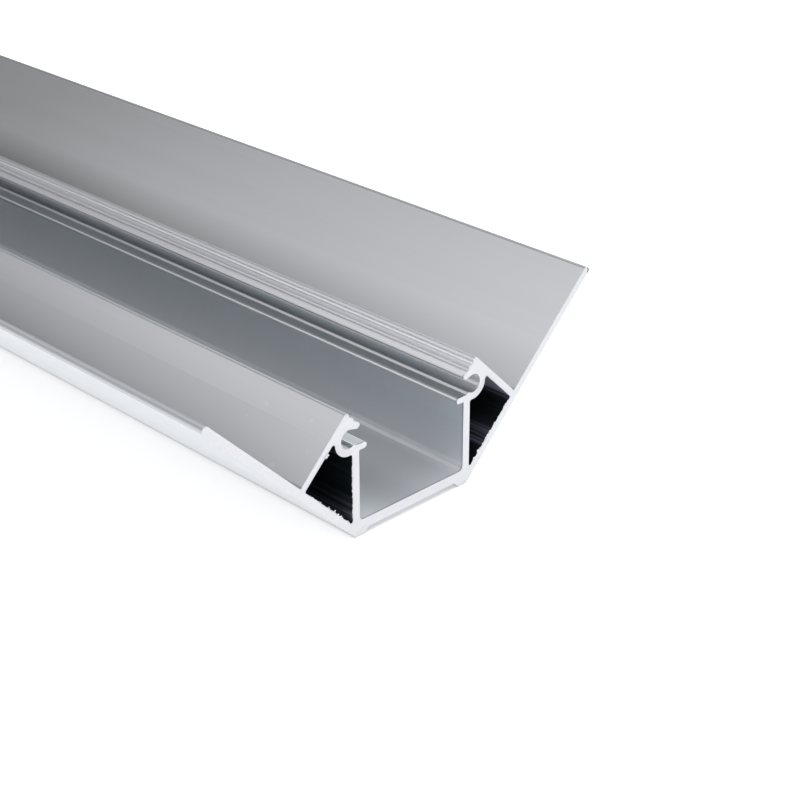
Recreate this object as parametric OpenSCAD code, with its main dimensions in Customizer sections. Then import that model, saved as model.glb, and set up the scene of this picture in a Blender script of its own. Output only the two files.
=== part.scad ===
// Corner profile for an LED strip: one aluminium extrusion of constant section.
// It stands on z = 0, its section is symmetric about x = 0 and its length runs along y.

/* [Stock] */
// Length of the piece as cut
length = 1000; // [250:50:2000]

/* [Channel] */
// Clear width between the channel walls
channel_w = 15.8; // [12:0.2:20]
// Clear depth from the channel floor up to the ledges
channel_depth = 8.55; // [7:0.05:11]
// Thickness of the channel walls
wall_t = 1.0; // [0.8:0.1:1.2]
// Thickness of the channel floor
floor_t = 1.2; // [0.9:0.1:1.6]
// Radius between floor and wall inside the channel
channel_r = 0.65; // [0.3:0.05:1]

/* [Feet] */
// How far the wall's outer face overhangs the foot's outer corner
foot_inset = 0.4; // [0.2:0.1:0.6]
// Width of the flat that each foot stands on
foot_w = 1.25; // [0.8:0.05:2]
// Height of the hollow under the base, between the feet
foot_h = 0.65; // [0.4:0.05:0.9]

/* [Wings] */
// Angle of the wings, measured from the base
wing_angle = 45; // [42:1:48]
// Length of a wing's outer face, from the foot to the tip
wing_l = 28.4; // [22:0.2:36]
// Thickness of the wings
wing_t = 0.9; // [0.7:0.1:1.2]

/* [Screw ports] */
// Bore of a port, which a thread-forming screw cuts into
port_d = 2.2; // [2:0.1:2.6]
// Thickness of the port's wall
port_t = 0.85; // [0.7:0.05:1]
// Distance from the channel wall's inner face to the port's centre
port_out = 1.45; // [1.35:0.05:1.6]

/* [Struts] */
// Thickness of the struts between wings and ports
strut_t = 0.8; // [0.7:0.05:0.95]
// How far a strut's outer face stands clear of the port's wall
strut_out = 0.55; // [0.45:0.05:0.65]

/* [Ledges] */
// How far a ledge reaches over the channel
ledge_w = 1.1; // [0.6:0.1:1.4]
// Thickness of a ledge
ledge_t = 0.7; // [0.5:0.05:0.9]
// Height of the ridge between ledge and port
ridge_h = 0.2; // [0.1:0.05:0.3]
// Width of the ridge's crest
ridge_w = 0.15; // [0.1:0.05:0.25]

/* [Lips] */
// Thickness of the lip between the port's bore and the grooved face
lip_t = 0.92; // [0.7:0.02:1.1]
// How far the lip reaches past the port's centre
lip_reach = 0.3; // [0.1:0.05:0.5]
// Slope of the lip's underside, rising into the port
lip_slope = 14; // [8:1:20]
// Number of grooves along the lip
groove_n = 2; // [1:1:2]
// Distance from the lip's top edge to the first groove, and from groove to groove
groove_pitch = 0.9; // [0.8:0.05:1]
// Depth of a groove
groove_h = 0.2; // [0.1:0.02:0.24]
// Radius of a groove's bottom
groove_r = 0.4; // [0.3:0.05:0.45]

/* [Edges] */
// Radius in the corners of the side cavities and at the foot of a strut
cavity_r = 0.25; // [0.15:0.05:0.35]
// Radius of the lip's top edge, at the end of the strut
tip_r = 0.3; // [0.15:0.05:0.4]
// Radius of the lip's inner edges and under the ledge
edge_r = 0.15; // [0.1:0.05:0.2]

/* [Hidden] */
$fn = 64;
// How far one shape reaches into the next, so that they join
lap = 0.05;

// The channel, from its middle outwards and from the floor up
wall_in = channel_w / 2;
wall_out = wall_in + wall_t;
foot_x = wall_out - foot_inset;
floor_z = foot_h + floor_t;
ledge_z = floor_z + channel_depth;
ledge_top = ledge_z + ledge_t;

// The port's bore touches the level of the ledge's top
port_r = port_d / 2;
port_x = wall_in + port_out;
port_z = ledge_top + port_r;
port_wall = port_r + port_t;

// The port's centre in the wing's frame: u along its outer face, v square to it
port_u = (port_x - foot_x) * cos(wing_angle) + port_z * sin(wing_angle);
port_v = port_z * cos(wing_angle) - (port_x - foot_x) * sin(wing_angle);
strut_u = port_u + port_wall + strut_out;
lip_u = port_u - lip_reach;
lip_v = port_v + port_r + lip_t;

// The lip's underside leaves the bore as a tangent and ends at the lip's nose
mouth_x = port_x - port_r * sin(lip_slope);
mouth_z = port_z + port_r * cos(lip_slope);
mouth_u = (mouth_x - foot_x) * cos(wing_angle) + mouth_z * sin(wing_angle);
lip_run = (mouth_u - lip_u) / cos(wing_angle - lip_slope);
nose_x = mouth_x - lip_run * cos(lip_slope);
nose_z = mouth_z - lip_run * sin(lip_slope);

// The ridge stands against the bore: its crest ends where the bore reaches the crest's height
ridge_crest_x = port_x - sqrt(port_r * port_r - (port_r - ridge_h) * (port_r - ridge_h)) - ridge_w;
ridge_foot_x = ridge_crest_x - ridge_h;

// A corner filled to radius r, for an inside edge, or cut away for an outside one.
// One side of the corner lies along x and the other stands at the opening angle to it.
module corner(opening, r) {
    reach = r / tan(opening / 2);
    difference() {
        polygon([
            [-lap * cos(opening / 2), -lap * sin(opening / 2)],
            [reach, -lap],
            [reach, r],
            [reach * cos(opening) - lap * sin(opening), reach * sin(opening) + lap * cos(opening)]
        ]);
        translate([reach, r]) circle(r = r);
    }
}

// Draws its children in the frame of the right wing
module on_wing() {
    translate([foot_x, 0]) rotate(wing_angle) children();
}

// Half the floor with its foot, and the channel wall
module half_channel() {
    polygon([
        [-lap, foot_h],
        [foot_x - foot_w - foot_h, foot_h],
        [foot_x - foot_w, 0],
        [foot_x, 0],
        [wall_out, foot_inset * tan(wing_angle)],
        [wall_out, floor_z],
        [-lap, floor_z]
    ]);
    translate([wall_in, floor_z - lap]) square([wall_t, channel_depth + ledge_t + lap]);
    translate([wall_in, floor_z]) rotate(90) corner(90, channel_r);
}

// The ledge with its round edge
module ledge() {
    tip_x = wall_in - ledge_w + ledge_t / 2;
    translate([tip_x, ledge_z]) square([wall_out - tip_x, ledge_t]);
    translate([tip_x, ledge_z + ledge_t / 2]) circle(d = ledge_t);
    translate([wall_in, ledge_z]) rotate(180) corner(90, edge_r);
}

// The wing with its round tip
module wing() {
    square([wing_l - wing_t / 2, wing_t]);
    translate([wing_l - wing_t / 2, wing_t / 2]) circle(d = wing_t);
}

// The strut, with a rounded foot on both sides
module strut() {
    translate([strut_u - strut_t, wing_t - lap]) square([strut_t, port_v - wing_t + lap]);
    translate([strut_u - strut_t, wing_t]) rotate(90) corner(90, cavity_r);
    translate([strut_u, wing_t]) corner(90, cavity_r);
}

// The lip: a block over the port, level with the strut's outer face, grooved on its free face
module lip() {
    difference() {
        translate([lip_u, port_v]) square([strut_u - lip_u, lip_v - port_v]);
        translate([strut_u, lip_v]) rotate(180) corner(90, tip_r);
        translate([lip_u, lip_v]) rotate(-90) corner(90, edge_r);
        for (i = [1:groove_n])
            translate([strut_u - i * groove_pitch, lip_v + groove_r - groove_h]) circle(r = groove_r);
    }
}

// The port's wall, and its blends into the channel wall and into the strut
module port_body() {
    blend_z = sqrt(pow(port_wall + cavity_r, 2) - pow(wall_out + cavity_r - port_x, 2));
    intersection() {
        translate([port_x, port_z]) circle(r = port_wall);
        translate([ridge_foot_x, ledge_z - port_wall]) square(4 * port_wall);
    }
    difference() {
        polygon([
            [wall_out - lap, port_z - blend_z],
            [wall_out + cavity_r, port_z - blend_z],
            [port_x, port_z],
            [wall_out - lap, port_z]
        ]);
        translate([wall_out + cavity_r, port_z - blend_z]) circle(r = cavity_r);
    }
    on_wing() strut_blend();
}

// The blend between the port's wall and the strut's inner face
module strut_blend() {
    side = port_wall + strut_out - strut_t - cavity_r;
    drop = sqrt(pow(port_wall + cavity_r, 2) - pow(side, 2));
    difference() {
        polygon([
            [port_u, port_v],
            [port_u + side, port_v - drop],
            [strut_u - strut_t + lap, port_v - drop],
            [strut_u - strut_t + lap, port_v]
        ]);
        translate([port_u + side, port_v - drop]) circle(r = cavity_r);
    }
}

// What is cut away: the bore, and the mouth between the lip's underside, the ledge and its ridge
module port_opening() {
    free_x = wall_in - ledge_w - port_d;
    translate([port_x, port_z]) circle(d = port_d);
    polygon([
        [mouth_x, mouth_z],
        [free_x, mouth_z - (mouth_x - free_x) * tan(lip_slope)],
        [free_x, ledge_top],
        [ridge_foot_x, ledge_top],
        [ridge_crest_x, ledge_top + ridge_h],
        [port_x, ledge_top + ridge_h],
        [port_x, port_z]
    ]);
    translate([nose_x, nose_z]) rotate(lip_slope) corner(90 + wing_angle - lip_slope, edge_r);
}

// The right half of the section
module half_section() {
    difference() {
        union() {
            half_channel();
            ledge();
            port_body();
            on_wing() {
                wing();
                strut();
                lip();
            }
            // the narrow corner between channel wall and wing
            translate([wall_out, foot_inset * tan(wing_angle) + wing_t / cos(wing_angle)])
                rotate(wing_angle) corner(90 - wing_angle, cavity_r);
        }
        port_opening();
    }
}

// The whole extrusion
module profile() {
    color([0.80, 0.81, 0.82])
        rotate([90, 0, 0])
            linear_extrude(height = length, center = true) {
                half_section();
                mirror([1, 0]) half_section();
            }
}

profile();
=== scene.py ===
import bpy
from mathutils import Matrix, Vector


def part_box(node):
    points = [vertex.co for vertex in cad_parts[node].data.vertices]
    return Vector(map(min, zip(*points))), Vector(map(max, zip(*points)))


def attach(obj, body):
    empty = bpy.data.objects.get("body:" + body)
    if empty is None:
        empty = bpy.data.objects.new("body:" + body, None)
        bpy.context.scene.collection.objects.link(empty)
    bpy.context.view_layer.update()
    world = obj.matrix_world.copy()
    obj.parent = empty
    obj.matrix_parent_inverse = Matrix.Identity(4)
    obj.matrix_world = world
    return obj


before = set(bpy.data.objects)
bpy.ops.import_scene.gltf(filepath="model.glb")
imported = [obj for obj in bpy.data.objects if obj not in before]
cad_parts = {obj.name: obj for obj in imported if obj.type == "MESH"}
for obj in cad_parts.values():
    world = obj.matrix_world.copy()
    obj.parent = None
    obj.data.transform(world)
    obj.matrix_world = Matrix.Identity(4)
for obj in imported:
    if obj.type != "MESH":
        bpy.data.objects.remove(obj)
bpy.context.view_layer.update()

import math
import random

import bmesh
import bpy
from mathutils import Vector

# The camera stands to the left of the photographed end, about 200 mm away and 100 mm up,
# and looks along the length and down into the channel.
scene = bpy.context.scene
near_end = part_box("profile")[0].y
yaw, pitch = math.radians(44.58), math.radians(26.90)
distance = 0.1958
aim = Vector((-0.00191, near_end, 0.01414))
photo_width, focal_length = 800, 1855    # in pixels
sight = Vector((math.sin(yaw) * math.cos(pitch), math.cos(yaw) * math.cos(pitch), -math.sin(pitch)))
lens = bpy.data.cameras.new("camera")
lens.sensor_width = 36
lens.lens = 36 * focal_length / photo_width
lens.clip_start, lens.clip_end = 0.01, 50
camera = bpy.data.objects.new("camera", lens)
camera.location = aim - sight * distance
camera.rotation_mode = "QUATERNION"
camera.rotation_quaternion = sight.to_track_quat("-Z", "Y")
scene.collection.objects.link(camera)
scene.camera = camera

# The profile: aluminium pressed through a die, cut to length and clear anodised to a
# satin finish. The die leaves faint lines along it, and the saw leaves bare bright ends.


class Signal:
    """A node's output: arithmetic on it adds Math nodes, and node() adds any other node."""

    def __init__(self, tree, socket=None):
        self.tree = tree
        self.socket = socket

    def node(self, kind, settings=None, sockets=None, output=0):
        made = self.tree.nodes.new(kind)
        for name, value in (settings or {}).items():
            if name == "stops":
                ramp = made.color_ramp
                while len(ramp.elements) < len(value):
                    ramp.elements.new(0.5)
                for element, (at, tone) in zip(ramp.elements, value):
                    element.position = at
                    element.color = (tone, tone, tone, 1) if isinstance(tone, float) else (*tone, 1)
            else:
                setattr(made, name, value)
        for name, value in (sockets or {}).items():
            if isinstance(value, Signal):
                self.tree.links.new(value.socket, made.inputs[name])
            else:
                made.inputs[name].default_value = value
        return Signal(self.tree, made.outputs[output] if len(made.outputs) else None)

    def maths(self, operation, *values):
        return self.node("ShaderNodeMath", {"operation": operation}, dict(enumerate(values)))

    def __add__(self, other):
        return self.maths("ADD", self, other)

    def __radd__(self, other):
        return self.maths("ADD", other, self)

    def __sub__(self, other):
        return self.maths("SUBTRACT", self, other)

    def __rsub__(self, other):
        return self.maths("SUBTRACT", other, self)

    def __mul__(self, other):
        return self.maths("MULTIPLY", self, other)

    def __rmul__(self, other):
        return self.maths("MULTIPLY", other, self)

    def __pow__(self, other):
        return self.maths("POWER", self, other)

    def __abs__(self):
        return self.maths("ABSOLUTE", self)

    def __gt__(self, other):
        return self.maths("GREATER_THAN", self, other)

    def __lt__(self, other):
        return self.maths("LESS_THAN", self, other)

    def within(self, low, high):
        return (self > low) * (self < high)

    def at_least(self, other):
        return self.maths("MAXIMUM", self, other)

    def at_most(self, other):
        return self.maths("MINIMUM", self, other)

    def parts(self):
        """The X, Y and Z of a vector."""
        split = self.node("ShaderNodeSeparateXYZ", sockets={"Vector": self}).socket.node
        return [Signal(self.tree, socket) for socket in split.outputs]

    def ramp(self, *stops):
        """A colour ramp from stops of (position, colour), with this output as its factor."""
        return self.node("ShaderNodeValToRGB", {"stops": stops}, {"Fac": self})

    def mix(self, first, second):
        """The first colour where this output is 0, and the second where it is 1."""
        sockets = {"Factor": self, 6: first, 7: second}
        return self.node("ShaderNodeMix", {"data_type": "RGBA"}, sockets, output=2)


def new_finish(name):
    finish = bpy.data.materials.new(name)
    finish.use_nodes = True
    finish.node_tree.nodes.clear()
    return finish, Signal(finish.node_tree)


def pattern(place, stretch, scale, detail):
    """Noise of about 1 / scale metres, drawn out along the axes whose stretch is small."""
    spread = place.node("ShaderNodeMapping", sockets={"Vector": place, "Scale": stretch})
    return place.node("ShaderNodeTexNoise", sockets={"Vector": spread, "Scale": scale, "Detail": detail})


satin, tree = new_finish("satin_anodised_aluminium")
place = tree.node("ShaderNodeTexCoord", output="Object")
die_lines = pattern(place, (1, 0.004, 1), 2600, 3.0)
broad_lines = pattern(place, (1, 0.002, 1), 420, 1.0)
etch = pattern(place, (1, 1, 1), 9000, 2.0)
clouds = pattern(place, (1, 0.3, 1), 60, 2.0)
scuffs = pattern(place, (1, 0.5, 1), 1300, 3.0)
tilted = place.node("ShaderNodeMapping", sockets={"Vector": place, "Rotation": (0, 0.35, 0)})
saw_lines = pattern(tilted, (0.05, 1, 1), 7000, 2.0)

# the section's sizes in mm, as the part is drawn: across from its middle, and up
foot_x, wall_in, wall_out = 8.5, 7.9, 8.9
floor_top, floor_r = 1.85, 0.65
ledge_under, ledge_top, ledge_edge = 10.4, 11.1, 7.15
ridge_foot = 8.37
port_x, port_r = 9.35, 1.1
port_z = ledge_top + port_r

# and in a wing's frame: reach runs up the wing from its foot, depth stands square to it
wing_t, wing_l = 0.9, 28.4
strut_in, strut_out = 10.93, 11.73
lip_face, cavity_top = 10.05, 6.9

# a mask reaches this far past the face that it picks out
slack = 0.05

x, along, z = place.parts()
across, up = abs(x) * 1000, z * 1000
reach = (across - foot_x + up) * math.sqrt(0.5)
depth = (up - across + foot_x) * math.sqrt(0.5)
aside, above = across - port_x, up - port_z
from_port = aside * aside + above * above

# distance from the nearest end in mm, and how far that is on the way inwards: 0 at the
# end, 1 from 100 mm on
inset = (abs(near_end) - abs(along)) * 1000
inner = (inset * 0.01).at_most(1.0)
outer = 1 - inner
cut_skin = 0.00002     # in metres: what lies closer to an end than this is the cut
sawn = abs(along) > abs(near_end) - cut_skin

in_channel = across < wall_in + slack
below_ledge = up < ledge_under - 0.1
on_floor = in_channel * up.within(floor_top - slack, floor_top + 0.02)
by_wall = in_channel * (across > wall_in - floor_r - slack)
fillet = by_wall * up.within(floor_top + 0.01, floor_top + floor_r + 0.1)
inside_ridge = across < ridge_foot - 0.07
on_outer_face = depth < slack
above_wing = depth > wing_t - slack
past_strut = reach > strut_out - 0.13
at_strut = past_strut * (reach < strut_out + 0.17)
walled_in = above_wing * (across > wall_out - slack) * (depth < cavity_top) * (reach < strut_in + 0.27)
soft_tip = reach > wing_l - wing_t / 2

# The anodised skin's tone, face by face, is matched to the photograph: painted highlights and
# painted shade that stand in for the room's light on each face. It differs with the place in
# the section and the distance from the nearer end, and is the same on both sides. First the
# lip, with painted highlights on its two outer flats and in its grooves, over the die lines'
# random streaks:
lip_top = depth > lip_face - 0.35
on_lip = lip_top * (reach < strut_out - 0.28)
groove = on_lip * (depth < lip_face - 0.03)
low_groove = reach < 10.4
lip = on_lip * (0.11 * (reach < 9.75) + 0.08 * (reach > 11.0) - 0.03 * inner
                + (lip_face - depth) * 0.9 * (1 - 1.2 * inner * low_groove)
                + groove * (reach > 10.05) * (0.18 + 0.27 * low_groove)
                + 0.4 * die_lines - 0.2)
# painted shade along the lip's edge by the strut, and a painted highlight on the lip's nose above the
# channel
lip_edge = lip_top * (reach > strut_out - 0.31)
nose = (across < wall_in + 0.2) * (up > port_z - 0.2) * (depth < lip_face - 0.15)

# the port, the ridge and the ledge below them: painted light and shade in the bore, darker
# low down and farther in, lighter upwards and near the cut; painted shade on the ridge; and
# on the ledge painted shade, with a painted highlight along its front edge near the end
by_port = from_port < (port_r + 0.1) ** 2
bore_light_near_cut = (0.7 - 0.14 * inset).at_least(0.0) * (up > ledge_top + 0.5)
bore = by_port * (((up - ledge_top) * 2.0).at_most(0.6) - 0.24 - 0.2 * inner + bore_light_near_cut)
ridge = (across.within(ridge_foot - 0.07, ridge_foot + 0.38)
         * up.within(ledge_top + 0.02, ledge_top + 0.22) * (0.35 * inner + 0.08 * outer))
ledge = (inside_ridge * up.within(ledge_under - slack, ledge_top + slack)
         * ((0.30 - 0.36 * inner) * (across < ledge_edge) - 0.08))
on_ledge = inside_ridge * (across > ledge_edge) * up.within(ledge_top - slack, ledge_top + slack)
ledge_flat = on_ledge * outer * outer

# the channel: painted light on its wall near the end, a painted highlight along the upper side
# of its corner fillets, painted light at its mouth by the end, and a thin line of painted
# shade along the cut's edge
wall = in_channel * (across > wall_in - slack) * below_ledge * (0.22 * outer ** 4.0 + 0.01)
corner_painted_highlight = by_wall * (0.32 - 0.9 * abs(up - 2.45)).at_least(0.0)
mouth = in_channel * below_ledge * (1 - inset * 0.125).at_least(0.0) ** 2.0
cut_edge_painted_shade = in_channel * (inset < 0.20)

# strut and wing: painted shade in the trough between them and down in its crease, painted
# shade on the wing's inner face far from the ends, on its outer face towards the tip, on the
# tip and at the foot of the outer face where it meets the table; and a few random light
# flecks on the strut near the end
out_of_corner = ((reach - strut_out) * 0.16 + (depth - wing_t) * 0.13).at_most(1.0)
trough = past_strut * above_wing * (1 - out_of_corner)
crease = past_strut * (reach < strut_out + 0.27) * depth.within(wing_t - 0.04, wing_t + 0.3)
# a band of painted light and shade on the strut's face: lighter on its upper part, and on its lower part
# darker near the end and lighter farther in, fading out at the very end
drawn = (at_strut * (depth > wing_t + 0.4) * (inset * 0.06).at_most(1.0)
         * (0.04 - (depth < 6.45) * (0.10 - 0.14 * inner)))
fleck = at_strut * (depth < 9.0) * (scuffs > 0.69) * (inset < 14)
far_wing = above_wing * (depth < wing_t + slack) * (reach > 12) * (inner - 0.7).at_least(0.0)
outside = on_outer_face * (reach - 14).at_least(0.0)
tip_shade = soft_tip * (0.21 + 0.26 * depth - 0.25 * (depth > 0.52) + 0.20 * (depth > 0.74))
on_foot = on_outer_face * (reach < 0.9)

# sum of the painted highlights and shade above, plus painted shade on the channel floor and, broken by
# random flecks, on its corner fillets
painted_light_and_shade = (lip - 0.13 * lip_edge + 0.30 * nose
          + bore - ridge + ledge - 0.14 * ledge_flat
          + wall + corner_painted_highlight + fillet * (0.3 * clouds - 0.20)
          + mouth * (0.08 + 0.18 * on_floor) - 0.27 * on_floor
          + drawn + 0.06 * fleck - 0.24 * far_wing - 0.006 * outside - tip_shade)
# the skin's tone is scaled by these, and darkened by painted shade in the trough and its crease, along
# the cut's edge in the channel and at the foot of the wing's outer face
gain = ((1 + painted_light_and_shade) * (1 - (0.23 + 0.40 * inner) * trough) * (1 - 0.25 * crease)
        * (1 - 0.35 * cut_edge_painted_shade) * (1 - 0.15 * on_foot))
streaks = 0.45 * clouds + 0.35 * die_lines + 0.2 * broad_lines
skin = streaks.ramp((0.25, (0.675, 0.700, 0.722)), (0.75, (0.725, 0.752, 0.775)))
skin = tree.node("ShaderNodeVectorMath", {"operation": "SCALE"}, {0: skin, "Scale": gain})

# the cavities' faces are painted almost black, painted shade for the deep hollows, with painted
# bluish reflections streaked along the die's lines: strong in a band of the wing and on the
# strut, and on the wall fading upwards
reflection_by_reach = [(4.08, 0.1), (4.8, 1.0), (6.24, 1.0), (7.68, 0.25), (10.32, 0.25), (10.8, 1.5)]
longest_reach = 12
wing_stops = [(at / longest_reach, much) for at, much in reflection_by_reach]
wing_reflection_strength = (reach * (1 / longest_reach)).ramp(*wing_stops)
wall_reflection_strength = (2.0 - 0.3 * up).at_least(0.3)
off_wall = across > wall_out + slack
thickness = wing_reflection_strength * off_wall + wall_reflection_strength * (1 - off_wall)
cavity_painted_reflection = (0.3 * broad_lines + 1.6 * die_lines - 0.45) * thickness
cavity_painted_shade = cavity_painted_reflection.ramp((0.12, (0.006, 0.010, 0.011)), (0.36, (0.03, 0.033, 0.045)),
                   (0.60, (0.14, 0.15, 0.21)), (1.0, (0.36, 0.38, 0.46)))

# the bare cut, and a spot of painted shade on the tip of the right wing at the near end
bare = saw_lines.ramp((0.25, (0.565, 0.575, 0.595)), (0.75, (0.605, 0.615, 0.635)))
painted_shade_spot = (x > 0.02815) * (along < near_end + 0.0005)
colour = painted_shade_spot.mix(sawn.mix(walled_in.mix(skin, cavity_painted_shade), bare), (0.03, 0.03, 0.035, 1))

skin_roughness = (0.24 + 0.06 * die_lines + 0.08 * etch + 0.05 * clouds + 0.15 * fillet
                  + 0.05 * groove + 0.2 * crease + 0.12 * lip_edge + 0.25 * soft_tip * (1 - sawn))
height = (1 - sawn) * (0.55 * die_lines + 0.35 * etch + 0.3 * broad_lines) + sawn * saw_lines
relief = tree.node("ShaderNodeBump", sockets={"Height": height, "Strength": 0.35, "Distance": 0.00001})
metal = tree.node(
    "ShaderNodeBsdfPrincipled",
    sockets={
        "Base Color": colour,
        "Metallic": 1 - 0.75 * walled_in,
        "Roughness": skin_roughness + sawn * (0.18 - 0.1 * saw_lines),
        "Normal": relief,
    },
)
tree.node("ShaderNodeOutputMaterial", sockets={"Surface": metal})

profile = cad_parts["profile"]
for material_slot in profile.material_slots:
    material_slot.material = satin

# The burrs: thin ragged flaps that the saw pushed over the edges of the two side cavities
# and left hanging there, with a few loose crumbs, of the same bare aluminium as the cut.
burr_mesh = bpy.data.meshes.new("saw_burrs")
shape = bmesh.new()
chance = random.Random(7)
tooth = 0.09           # width of one flap's step, in mm
rooted = 0.10          # how far a flap reaches back over the cut from its edge, in mm
flap_t = 0.06
crumbs = 26

up_from_wing, down_from_strut, out_of_wall = (-0.7071, 0.7071), (-0.7071, -0.7071), (1.0, 0.0)
# side, first and last point of the edge (mm across and up), the way into the cavity,
# longest flap, and how strongly the flaps gather in a few places
edges = [
    (-1, (14.9, 7.67), (9.4, 2.17), up_from_wing, 0.75, 4.0),
    (-1, (8.9, 9.6), (8.9, 2.6), out_of_wall, 0.26, 1.5),
    (-1, (12.7, 11.25), (12.3, 11.65), down_from_strut, 0.35, 0.6),
    (1, (9.3, 2.07), (15.2, 7.97), up_from_wing, 0.42, 1.3),
]
for side, first, last, inward, longest, gathered in edges:
    run = Vector(last) - Vector(first)
    columns = round(run.length / tooth)
    swell = [chance.random() for column in range(columns // 3 + 3)]
    flaps = []
    for column in range(columns + 1):
        step, part = divmod(column / 3, 1)
        wave = swell[int(step)] * (1 - part) + swell[int(step) + 1] * part
        flaps.append(longest * wave ** gathered * chance.uniform(0.15, 1) + 0.05 * chance.random())
    strip = bmesh.ops.create_grid(shape, x_segments=columns, y_segments=2, size=1)["verts"]
    for vert in strip:
        column = round((vert.co.x + 1) / 2 * columns)
        row = round(vert.co.y) + 1
        out = (-rooted, 0.0, flaps[column])[row]
        foot = Vector(first) + run * column / columns + Vector(inward) * out
        curl = 0.005 - 0.2 * max(out, 0) * chance.random()
        vert.co = (side * foot.x / 1000, near_end + curl / 1000, foot.y / 1000)
bmesh.ops.solidify(shape, geom=shape.faces[:], thickness=flap_t / 1000)
for crumb in range(crumbs):
    side, first, last, inward, longest, gathered = edges[chance.choice((0, 0, 1, 3))]
    foot = Vector(first).lerp(Vector(last), chance.random()) + Vector(inward) * chance.uniform(0, 0.08)
    radius = chance.uniform(0.00005, 0.00011)
    lump = bmesh.ops.create_icosphere(shape, subdivisions=1, radius=radius)["verts"]
    for vert in lump:
        vert.co *= chance.uniform(0.7, 1.3)
    bmesh.ops.translate(shape, verts=lump, vec=(side * foot.x / 1000, near_end, foot.y / 1000))
bmesh.ops.recalc_face_normals(shape, faces=shape.faces)
shape.to_mesh(burr_mesh)
shape.free()
burrs = bpy.data.objects.new("saw_burrs", burr_mesh)
scene.collection.objects.link(burrs)
burr_mesh.materials.append(satin)
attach(burrs, "root")

# The table: a white light table that glows softly through, so that shadows on it stay
# faint and the undersides of the wings are lit from below. Under the profile's base, and
# for under a millimetre outside its feet and ends, the table glows less: a painted contact
# shadow.
table_mesh = bpy.data.meshes.new("table")
shape = bmesh.new()
half_width, gap = 8, 0.00002
bmesh.ops.create_grid(shape, x_segments=1, y_segments=1, size=half_width)
bmesh.ops.translate(shape, verts=shape.verts, vec=(0, 0, -gap))
shape.to_mesh(table_mesh)
shape.free()
table = bpy.data.objects.new("table", table_mesh)
scene.collection.objects.link(table)
white, tree = new_finish("white_table")
x, along, z = tree.node("ShaderNodeTexCoord", output="Object").parts()
clear_of_base = (abs(x) - foot_x / 1000).at_least(abs(along) - abs(near_end))
glow = (clear_of_base * 400).ramp((0.0, 0.45), (0.05, 0.82), (0.12, 0.94), (0.30, 1.0))
top = tree.node(
    "ShaderNodeBsdfPrincipled",
    sockets={
        "Base Color": (0.90, 0.90, 0.90, 1),
        "Roughness": 0.9,
        "Specular IOR Level": 0.0,
        "Emission Color": glow,
        "Emission Strength": 0.45,
    },
)
tree.node("ShaderNodeOutputMaterial", sockets={"Surface": top})
table_mesh.materials.append(white)

# The light: a pale room, brightest to the right, with one dark wall beyond the far end,
# and a large soft box overhead. The satin faces change from light to dark along the
# length because they mirror the place where the dark wall begins.
room = bpy.data.worlds.new("room")
room.use_nodes = True
room.node_tree.nodes.clear()
tree = Signal(room.node_tree)
x, y, rise = tree.node("ShaderNodeTexCoord", output="Generated").parts()
turn = tree.maths("ARCTAN2", 0 - x, y)
# each wall's place in degrees, turning left from the direction of the far end, and its light
walls = [
    (-180, (0.80, 0.78, 0.79)),
    (-50, (1.50, 1.54, 1.58)),
    (-43, (1.25, 1.29, 1.33)),
    (-37, (0.29, 0.30, 0.31)),
    (-20, (0.13, 0.13, 0.13)),
    (16, (0.07, 0.068, 0.07)),
    (21, (0.11, 0.106, 0.108)),
    (23, (0.23, 0.22, 0.225)),
    (27, (0.90, 0.87, 0.88)),
    (40, (0.98, 0.95, 0.96)),
    (180, (0.80, 0.78, 0.79)),
]
round_the_room = 0.5 + turn * (0.5 / math.pi)
sky = round_the_room.ramp(*[(0.5 + degrees / 360, tone) for degrees, tone in walls])
seen = tree.node("ShaderNodeLightPath", output="Is Camera Ray")
backdrop = seen.mix(sky, (1.0, 1.0, 1.0, 1))
strength = seen + (1 - seen) * (0.55 + 0.72 * rise)
lit = tree.node("ShaderNodeBackground", sockets={"Color": backdrop, "Strength": strength})
tree.node("ShaderNodeOutputWorld", sockets={"Surface": lit})
scene.world = room

box_light = bpy.data.lights.new("soft_box", "AREA")
box_light.shape = "RECTANGLE"
box_light.size = box_light.size_y = 1.2
box_light.energy = 10
soft_box = bpy.data.objects.new("soft_box", box_light)
soft_box.location = (0.1, near_end - 0.2, 1.5)
scene.collection.objects.link(soft_box)

scene.view_settings.view_transform = "Standard"
